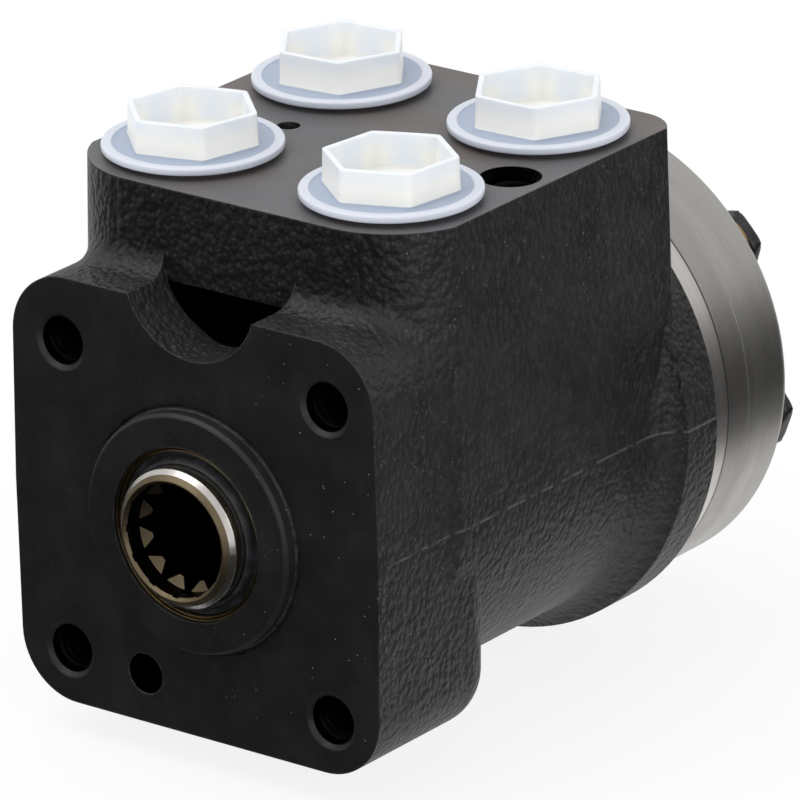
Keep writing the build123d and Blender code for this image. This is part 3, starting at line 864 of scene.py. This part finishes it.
@dataclass
class Thread:
    """An internal thread: one ridge wound along the wall of a hole."""

    name: str
    centre: Point
    axis: Axis
    inward: float
    radius: float
    pitch: float
    start: float
    length: float
    height: float = 0.45 * MM
    sunk: float = 0.03 * MM
    foot: float = 0.46
    crest: float = 0.09
    steps: int = 40
    fade: int = 14

    def wind(self, shell: Shell) -> None:
        """Adds the ridge to a shell.

        Args:
            shell: The shell that takes it.
        """
        count = ceil(self.length / self.pitch * self.steps)
        centre = Vector(self.centre)
        foot, tip = self.foot * self.pitch, self.crest * self.pitch
        rows = []
        for k in range(count + 1):
            turn = k / self.steps
            angle = 2 * pi * turn
            fade = min(1.0, k / self.fade, (count - k) / self.fade)
            middle = self.inward * (self.start + self.pitch * turn)
            wall, top = self.radius + self.sunk, self.radius - self.height * fade
            profile = ((wall, -foot), (top, -tip), (top, tip), (wall, foot))
            points = [centre + self.axis.place(middle + s, r, angle) for r, s in profile]
            rows.append(shell.ring(points))
        for low, high in zip(rows, rows[1:]):
            shell.bridge(low, high, closed=False)


# --- sub-assemblies
@dataclass
class TransportPlug:
    """A moulded transport plug: threaded stem, thin flange with a bead, and a hexagonal cup."""

    body: Body
    centre: Pair
    turn: float
    finish: Finish
    face: float = 57.4 * MM
    stem_radius: float = 9.25 * MM
    stem_bottom: float = -11.4 * MM
    collar_radius: float = 12.2 * MM
    collar: float = 1.0 * MM
    flange_radius: float = 16.3 * MM
    flange: float = 1.2 * MM
    bead: float = 0.2 * MM
    bead_width: float = 1.8 * MM
    flats: float = 21.8 * MM
    wall: float = 1.15 * MM
    height: float = 8.5 * MM
    floor: float = 2.1 * MM
    corner: float = 0.8 * MM
    plate_inside: float = 13.6 * MM
    cup_inside: float = 9.0 * MM
    gate: tuple[Pair, ...] = ((3.2, -0.05), (1.3, 0.0), (1.1, 0.3), (0.8, 0.35))
    pitch: float = 1.814 * MM
    ridge: float = 0.5 * MM
    stem_rows: int = 72
    ripple: float = 0.12 * MM
    ripple_scale: float = 90.0
    ripple_from: float = 6 * MM

    def angles(self) -> list[float]:
        """Directions of the points of one ring, closer together at the hexagon's corners."""
        right = [1.2, 2.4, 3.8, 5.5, 8, 12, 17, 22, 26]
        offsets = [-o for o in reversed(right)] + [0, *right, 30]
        return [radians(self.turn + 30 + 60 * k + o) for k in range(6) for o in offsets]

    def hexagon(self, angle: float, flats: float, corner: float) -> float:
        """Radius of a rounded hexagon in one direction.

        Args:
            angle: The direction, from a ring's first flat.
            flats: Width across the flats.
            corner: Radius of its corners.

        Returns:
            The distance from its middle to its edge.
        """
        apothem = flats / 2
        sector = (angle - radians(self.turn)) % (pi / 3)
        off = sector - pi / 6
        to_corner = pi / 6 - abs(off)
        half_straight = (apothem - corner) * tan(pi / 6)
        if apothem * tan(abs(off)) <= half_straight:
            return apothem / cos(off)
        reach = (apothem - corner) / cos(pi / 6)
        return reach * cos(to_corner) + sqrt(max(0.0, corner**2 - (reach * sin(to_corner)) ** 2))

    def rows(self) -> list[tuple[float, float, float]]:
        """The plug's rings from the stem's foot over the rim to the cup's floor.

        Returns:
            Rings (radius or width across flats, height, 0 for a circle or 1 for a hexagon).
        """
        top, under = self.collar + self.flange, self.collar
        r = self.flange_radius
        skirt = fillet([
            (self.collar_radius, 0.0, 0.0), (self.collar_radius, under, 0.15 * MM),
            (r, under, 0.45 * MM), (r, top + self.bead, 0.45 * MM),
            (r - self.bead_width, top + self.bead, 0.35 * MM),
            (r - self.bead_width - 0.25 * MM, top, 0.35 * MM), (self.plate_inside, top, 0.0),
        ])
        rings = [(a, b, 0.0) for a, b in skirt]
        outer, inner = self.flats, self.flats - 2 * self.wall
        rings += [(outer + 1.3 * MM, top, 1.0), (outer + 0.35 * MM, top + 0.15 * MM, 1.0)]
        lip = fillet([
            (outer, top + 0.6 * MM, 0.0), (outer - 0.25 * MM, self.height, 0.3 * MM),
            (inner, self.height, 0.3 * MM), (inner - 0.5 * MM, self.floor, 0.8 * MM),
            (self.cup_inside, self.floor, 0.0),
        ])
        rings += [(a, b, 1.0) for a, b in lip]
        return rings + [(a * MM, self.floor + b * MM, 0.0) for a, b in self.gate]

    def build(self) -> None:
        """Makes the plug."""
        shell = Shell()
        angles = self.angles()
        rows = []
        for k in range(self.stem_rows + 1):
            z = self.stem_bottom * (1 - k / self.stem_rows)
            lead = min(1.0, k / 6, (self.stem_rows - k) / 10)
            points = []
            for a in angles:
                phase = (z / self.pitch - a / (2 * pi)) % 1.0
                crest = max(0.0, 1.0 - abs(phase - 0.5) * 3.0)
                radius = self.stem_radius - self.ridge * (1 - crest * lead)
                points.append(Axis.Z.place(z, radius, a))
            rows.append(shell.ring(points))
        for size, z, sixfold in self.rows():
            points = []
            for a in angles:
                radius = self.hexagon(a, size, min(self.corner, size / 4)) if sixfold else size
                p = Axis.Z.place(z, radius, a)
                if sixfold and z > self.ripple_from:
                    seed = Vector((self.turn, 0.0, 0.0))
                    p.z += self.ripple * noise.noise(p * self.ripple_scale + seed)
                points.append(p)
            rows.append(shell.ring(points))
        shell.tube(rows)
        at = (*self.centre, self.face)
        piece = shell.piece(f"transport_{self.body.value}", self.finish, at)
        settle(piece, self.body, (self.body.value,))


@dataclass
class Casting:
    """The housing casting, with the threads cut in its holes."""

    finish: Finish
    web_finish: Finish
    thread_finish: Finish
    mount_circle: float = 82.55 * MM
    hole_radius: float = 4.25 * MM
    pitch: float = 1.5 * MM
    screw_x: float = 32.3 * MM
    screw_y: float = 50.5 * MM
    port_face: float = 57.4 * MM
    block_front: float = 11.6 * MM
    draft: float = 1.2
    notch_z: float = 46.2 * MM
    web_radius: float = 14.62 * MM
    web_foot: float = 40.6 * MM
    web_back: float = 16.8 * MM
    web_gap: float = 0.3 * MM
    web_proud: float = 0.015 * MM
    web_steps: int = 48

    def threads(self) -> list[Thread]:
        """The threads that can be seen from outside."""
        m, r, pitch = self.mount_circle / 2 / sqrt(2.0), self.hole_radius, self.pitch
        found = [
            Thread("flange", (a * m, 0.0, b * m), Axis.Y, 1.0, r, pitch, 2.2 * MM, 13 * MM)
            for a in (-1, 1)
            for b in (-1, 1)
        ]
        for side in (-1, 1):
            at = (side * self.screw_x, self.screw_y, self.port_face)
            found.append(Thread("face", at, Axis.Z, -1.0, r, pitch, 2.4 * MM, 11 * MM))
        return found

    def web(self) -> None:
        """Makes the web that closes the block's front wall above the hollow."""
        low = asin((self.web_foot - self.notch_z) / self.web_radius)
        lean, front_y = tan(radians(self.draft)), self.block_front - self.web_proud
        outline = []
        for k in range(self.web_steps + 1):
            a = low + (pi - 2 * low) * k / self.web_steps
            z = self.notch_z + self.web_radius * sin(a)
            outline.append((self.web_radius * cos(a), min(z, self.port_face - self.web_gap)))
        shell = Shell()
        front = shell.ring(
            Vector((x, front_y - (self.port_face - z) * lean, z)) for x, z in outline
        )
        back = shell.ring(Vector((x, self.web_back, z)) for x, z in outline)
        shell.bridge(back, front)
        shell.cap(shell.ring([shell.points[k] for k in front]))
        shell.cap(shell.ring([shell.points[k] for k in back]), turned=True)
        piece = shell.piece("casting_web", self.web_finish)
        settle(piece, Body.HOUSING)

    def build(self) -> None:
        """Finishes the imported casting, and makes the web and the threads."""
        self.web()
        groups: dict[str, Shell] = {}
        for thread in self.threads():
            thread.wind(groups.setdefault(thread.name, Shell()))
        for name, shell in groups.items():
            piece = shell.piece(f"{name}_hole_threads", self.thread_finish)
            settle(piece, Body.HOUSING)
        self.finish.dress(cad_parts["housing"])


@dataclass
class NeckSeal:
    """The rubber seal in the pilot: a plated case edge round a two-lipped body."""

    case_finish: Finish
    rubber_finish: Finish
    bore: float = 16.12 * MM
    front: float = -1.9 * MM
    floor: float = 4.1 * MM
    case_wall: float = 1.0 * MM
    neck: float = 12.97 * MM
    segments: int = 160

    def build(self) -> None:
        """Makes the case edge and the rubber body."""
        b, f, foot = self.bore, self.front, self.floor
        inner = b - self.case_wall
        case = fillet([
            (b, foot, 0.0), (b, f, 0.12 * MM), (b - 0.28 * MM, f, 0.12 * MM),
            (b - 0.34 * MM, f + 0.7 * MM, 0.1 * MM), (b - 0.62 * MM, f + 0.7 * MM, 0.1 * MM),
            (b - 0.68 * MM, f + 0.15 * MM, 0.1 * MM), (b - 0.92 * MM, f + 0.15 * MM, 0.1 * MM),
            (inner, f + 1.4 * MM, 0.0), (inner, foot, 0.0),
        ])
        piece = lathe(case, Axis.Y, self.segments).piece("dust_seal_case", self.case_finish)
        settle(piece, Body.HOUSING)
        n = self.neck
        rubber = fillet([
            (inner, foot, 0.0), (inner, f + 0.9 * MM, 0.3 * MM),
            (b - 1.8 * MM, f + 1.5 * MM, 0.4 * MM), (n + 1.15 * MM, f + 1.2 * MM, 0.4 * MM),
            (n + 0.5 * MM, f - 0.55 * MM, 0.22 * MM), (n, f - 0.35 * MM, 0.15 * MM),
            (n + 0.02 * MM, f + 0.5 * MM, 0.3 * MM), (n + 0.7 * MM, f + 2.4 * MM, 0.3 * MM),
            (n + 0.7 * MM, foot, 0.0),
        ])
        shell = lathe(rubber, Axis.Y, self.segments)
        piece = shell.piece("dust_seal_rubber", self.rubber_finish)
        settle(piece, Body.HOUSING, ("dust_seal",))


@dataclass
class CoverScrews:
    """The seven hexagon heads and their sealing washers behind the end cover."""

    steel: Finish
    copper: Finish
    circle: float = 35.7 * MM
    first: float = 90.0
    seat: float = 120.0 * MM
    washer: float = 0.8 * MM
    washer_radius: float = 6.5 * MM
    head: float = 3.0 * MM
    flats: float = 12.6 * MM
    chamfer: float = 0.7 * MM
    turns: tuple[float, ...] = (12.0, 5.0, -8.0, 20.0, 2.0, -14.0, 9.0)
    head_points: int = 60
    washer_points: int = 72
    washer_edge: tuple[Pair, ...] = (
        (0.6, 0.0), (0.97, 0.0), (1.0, 0.25), (1.0, 0.75), (0.97, 1.0), (0.6, 1.0),
    )

    def add_head(self, shell: Shell, angle: float, turn: float) -> None:
        """Adds one chamfered hexagon head.

        Args:
            shell: The shell that takes it.
            angle: The screw's place round the cover, in degrees.
            turn: Where the hexagon stopped, in degrees from a flat facing outwards.
        """
        middle = Axis.Y.place(0.0, self.circle, radians(angle))
        low, high = self.seat + self.washer, self.seat + self.washer + self.head
        apothem = self.flats / 2
        rows = []
        for limit, y in (
            (0.5, low), (0.92, low), (1.02, low + 0.25 * MM), (2.0, low + 0.6 * MM),
            (2.0, high - self.chamfer), (1.08, high - 0.3 * MM), (0.97, high), (0.5, high),
        ):
            points = []
            for k in range(self.head_points):
                a = 2 * pi * k / self.head_points
                off = (a + pi / 6) % (pi / 3) - pi / 6
                radius = min(apothem / cos(off), limit * apothem)
                points.append(middle + Axis.Y.place(y, radius, a + radians(angle + turn)))
            rows.append(shell.ring(points))
        shell.tube(rows)

    def build(self) -> None:
        """Makes the heads and the washers."""
        heads, washers = Shell(), Shell()
        for k, turn in enumerate(self.turns):
            angle = self.first - 360.0 * k / len(self.turns)
            self.add_head(heads, angle, turn)
            middle = Axis.Y.place(0.0, self.circle, radians(angle))
            rows = []
            for r, y in self.washer_edge:
                place, radius = self.seat + y * self.washer, r * self.washer_radius
                angles = (2 * pi * i / self.washer_points for i in range(self.washer_points))
                rows.append(washers.ring(middle + Axis.Y.place(place, radius, a) for a in angles))
            washers.tube(rows)
        piece = heads.piece("hexagon_heads", self.steel)
        settle(piece, Body.HOUSING, ("cover_bolts", "pin_bolt"))
        piece = washers.piece("copper_washers", self.copper)
        settle(piece, Body.HOUSING, ("sealing_washers",))


@dataclass
class DressedNodes:
    """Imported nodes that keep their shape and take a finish."""

    finishes: Sequence[tuple[Finish, Sequence[str]]]

    def dress(self) -> None:
        """Puts each finish on its nodes."""
        for finish, names in self.finishes:
            for name in names:
                finish.dress(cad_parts[name])
                log.info("node %s finished as %s", name, finish.name)


# --- studio
@dataclass
class Camera:
    """The camera, aimed from in front of and above the unit."""

    azimuth: float = 37.308
    elevation: float = 20.799
    roll: float = -1.01
    aim: Point = (0.0447, 0.0012, 0.03376)
    distance: float = 1.5672
    lens: float = 412.65
    sensor: float = 36.0
    near: float = 0.01
    far: float = 100.0

    def build(self) -> None:
        """Makes the camera and gives it to the scene."""
        a, e, r = radians(self.azimuth), radians(self.elevation), radians(self.roll)
        back = Vector((sin(a) * cos(e), -cos(a) * cos(e), sin(e)))
        level = Vector((cos(a), sin(a), 0.0))
        upright = back.cross(level)
        right = level * cos(r) + upright * sin(r)
        up = upright * cos(r) - level * sin(r)
        data = bpy.data.cameras.new("camera")
        data.sensor_width, data.lens = self.sensor, self.lens
        data.clip_start, data.clip_end = self.near, self.far
        camera = stand("camera", data)
        turned = Matrix((right, up, back)).transposed().to_4x4()
        camera.matrix_world = Matrix.Translation(Vector(self.aim) + back * self.distance) @ turned
        bpy.context.scene.camera = camera


@dataclass
class Lamp:
    """One soft box."""

    name: str
    at: Point
    aim: Point
    size: Pair
    power: float

    def build(self) -> None:
        """Makes the lamp."""
        data = bpy.data.lights.new(self.name, "AREA")
        data.shape, data.size, data.size_y = "RECTANGLE", *self.size
        data.energy = self.power
        lamp = stand(self.name, data)
        lamp.location = self.at
        lamp.rotation_mode = "QUATERNION"
        lamp.rotation_quaternion = (Vector(self.aim) - Vector(self.at)).to_track_quat("-Z", "Y")


def stage_panel(
    name: str, points: Sequence[Point], faces: Sequence[tuple[int, ...]], tree: Tree
) -> bpy.types.Object:
    """Makes a surface of the studio, which is no part of the unit.

    Args:
        name: Its name.
        points: Its corners.
        faces: Numbers of each face's corners.
        tree: Its material's tree.

    Returns:
        The new object.
    """
    mesh = bpy.data.meshes.new(name)
    mesh.from_pydata(points, [], faces)
    mesh.materials.append(tree.material)
    panel = stand(name, mesh)
    return panel


@dataclass
class Card:
    """A dark card that only shiny surfaces see, to give metal its shape."""

    name: str
    corners: Sequence[Point]
    tone: float = 0.03

    def build(self) -> None:
        """Makes the card."""
        tree = Tree(self.name)
        tone = {"Color": (self.tone,) * 3, "Strength": 1.0}
        tree.show(tree.node("ShaderNodeEmission", sockets=tone))
        count = len(self.corners) // 2
        faces = [(k, k + 1, k + 1 + count, k + count) for k in range(count - 1)]
        card = stage_panel(self.name, self.corners, faces, tree)
        for ray in ("camera", "diffuse", "shadow", "transmission", "volume_scatter"):
            setattr(card, f"visible_{ray}", False)


@dataclass
class Studio:
    """Floor, surroundings, lamps and dark cards."""

    floor_level: float
    floor_half: float = 6.0
    floor_tone: float = 0.93
    lift: float = 0.86
    ambient: float = 0.95

    def build_floor(self) -> None:
        """Makes the pale floor that takes the unit's shadow."""
        tree = Tree("pale_floor")
        grain = tree.cloud(tree.place(), 0.01, 3.0)
        tone = tree.between(grain, self.floor_tone - 0.01, self.floor_tone + 0.01)
        paper = tree.node("ShaderNodeBsdfDiffuse", sockets={"Color": tone})
        glow = tree.node("ShaderNodeEmission", sockets={"Color": (1.0, 1.0, 1.0), "Strength": 1.0})
        seen = tree.path(*SEEING_RAYS)
        matt, lit = Wire(tree, paper.outputs[0]), Wire(tree, glow.outputs[0])
        layers = {0: seen * self.lift, 1: matt, 2: lit}
        tree.show(tree.node("ShaderNodeMixShader", sockets=layers))
        h, z = self.floor_half, self.floor_level
        corners = [(-h, -h, z), (h, -h, z), (h, h, z), (-h, h, z)]
        stage_panel("floor", corners, [(0, 1, 2, 3)], tree)

    def build_world(self) -> None:
        """Makes the surroundings: white where they are seen, softer where they light."""
        world = bpy.data.worlds.new("studio")
        tree = Tree("studio", world)
        seen = tree.path(*SEEING_RAYS)
        strength = tree.between(seen, self.ambient, 1.0)
        glow = tree.node("ShaderNodeBackground", sockets={"Strength": strength})
        tree.show(glow, "ShaderNodeOutputWorld")
        bpy.context.scene.world = world

    def build(self) -> None:
        """Makes the whole studio."""
        self.build_floor()
        self.build_world()
        middle = (0.0, 0.06, 0.0)
        Lamp("key", (-0.35, -0.25, 1.25), middle, (1.1, 1.1), 8.0).build()
        Lamp("side", (1.5, -0.6, 0.55), middle, (0.7, 0.9), 5.0).build()
        low = self.floor_level + CARD_GAP
        Card(
            "rear_right_card",
            [
                (0.075, -0.15, low), (1.2, -0.15, low), (1.2, -0.15, 0.42),
                (0.05, 1.8, low), (1.2, 1.8, low), (1.2, 1.8, 0.42),
            ],
        ).build()
        Card(
            "front_left_card",
            [
                (0.12, -0.002, low), (0.35, -1.0, low), (0.35, -1.0, 0.35),
                (-0.5, -0.002, low), (-1.3, -1.0, low), (-1.3, -1.0, 0.35),
            ],
        ).build()
        bpy.context.scene.view_settings.view_transform = "Standard"


def build_unit() -> None:
    """Builds and dresses the steering unit, one sub-assembly after another."""
    iron = CoatedIron("coated_iron")
    # painted shade: the threads in the holes are near-black, standing in for the shade inside the
    # holes
    hole_shade_iron = PlainMetal("shaded_thread_iron", (0.009, 0.009, 0.009), (0.005, 0.005, 0.005), 0.6)
    flush_iron = CoatedIron("flush_iron", rounding=0.02, edge_wear_and_highlight=0.0)
    Casting(iron, flush_iron, hole_shade_iron).build()

    rubber = Rubber("seal_rubber")
    case = PlainMetal("plated_case", (0.42, 0.33, 0.16), (0.20, 0.15, 0.07), 0.3)
    NeckSeal(case, rubber).build()

    plastic = ClearPlastic("natural_plastic")
    plugs = (
        (Body.PLUG_FRONT_LEFT, -21.9, 29.7, 16.2), (Body.PLUG_FRONT_RIGHT, 21.9, 29.7, 22.4),
        (Body.PLUG_REAR_LEFT, -21.9, 73.0, 5.2), (Body.PLUG_REAR_RIGHT, 21.9, 73.0, 3.0),
    )
    for body, x, y, turn in plugs:
        TransportPlug(body, (x * MM, y * MM), turn, plastic).build()

    valve = ValveSteel("valve_steel")
    bright = PlainMetal("bearing_steel", (0.58, 0.57, 0.56), (0.45, 0.44, 0.43), 0.2)
    shaft = PlainMetal("shaft_steel", (0.36, 0.34, 0.32), (0.22, 0.2, 0.185), 0.38)
    # lighter tone on the bolt heads' edges, as wear and painted highlight
    wear_and_highlight = (0.16, 0.15, 0.14)
    black = PlainMetal(
        "black_bolt", (0.05, 0.05, 0.055), (0.028, 0.027, 0.028), 0.36, 0.75, edge_tint=wear_and_highlight
    )
    copper = PlainMetal("copper_washer", (0.50, 0.31, 0.13), (0.30, 0.19, 0.08), 0.32)
    CoverScrews(black, copper).build()
    bronze = PlainMetal("cage_bronze", (0.52, 0.36, 0.17), (0.36, 0.24, 0.11), 0.35)
    spring = PlainMetal("spring_steel", (0.2, 0.21, 0.25), (0.12, 0.12, 0.14), 0.3)
    ptfe = Rubber("seal_ptfe", (0.30, 0.20, 0.13), (0.36, 0.25, 0.17), 0.4)
    rotor = TurnedSteel("rotor_steel", rough=0.28)
    plate = TurnedSteel(
        "ground_plate", (0.62, 0.59, 0.57), (0.45, 0.42, 0.39), 0.32, 3.0, 0.01, edges_at=SEAM
    )
    ring = TurnedSteel("turned_ring", edges_at=SEAM)
    cover = TurnedSteel("turned_cover", (0.43, 0.42, 0.405))
    rings = ("seal_backing_ring", "housing_oring", "plate_oring", "cover_oring")
    races = ("bearing_front_race", "bearing_rear_race", "bearing_needles")
    DressedNodes((
        (valve, ("spool", "sleeve")),
        (ptfe, ("shaft_seal",)),
        (rubber, rings),
        (bright, (*races, "check_ball", "cross_pin")),
        (bronze, ("bearing_cage",)),
        (shaft, ("check_seat", "spring_retainer", "drive_shaft", "shaft_spacer")),
        (spring, ("centring_springs",)),
        (rotor, ("rotor",)),
        (plate, ("distributor_plate",)),
        (ring, ("gear_ring",)),
        (cover, ("end_cover",)),
    )).dress()


def main() -> None:
    """Builds the unit and its studio."""
    logging.basicConfig(level=logging.INFO, format="%(message)s")
    build_unit()
    Studio(floor_level=CAD_BOX[0][2] - FLOOR_GAP).build()
    Camera().build()


if __name__ == "__main__":
    main()
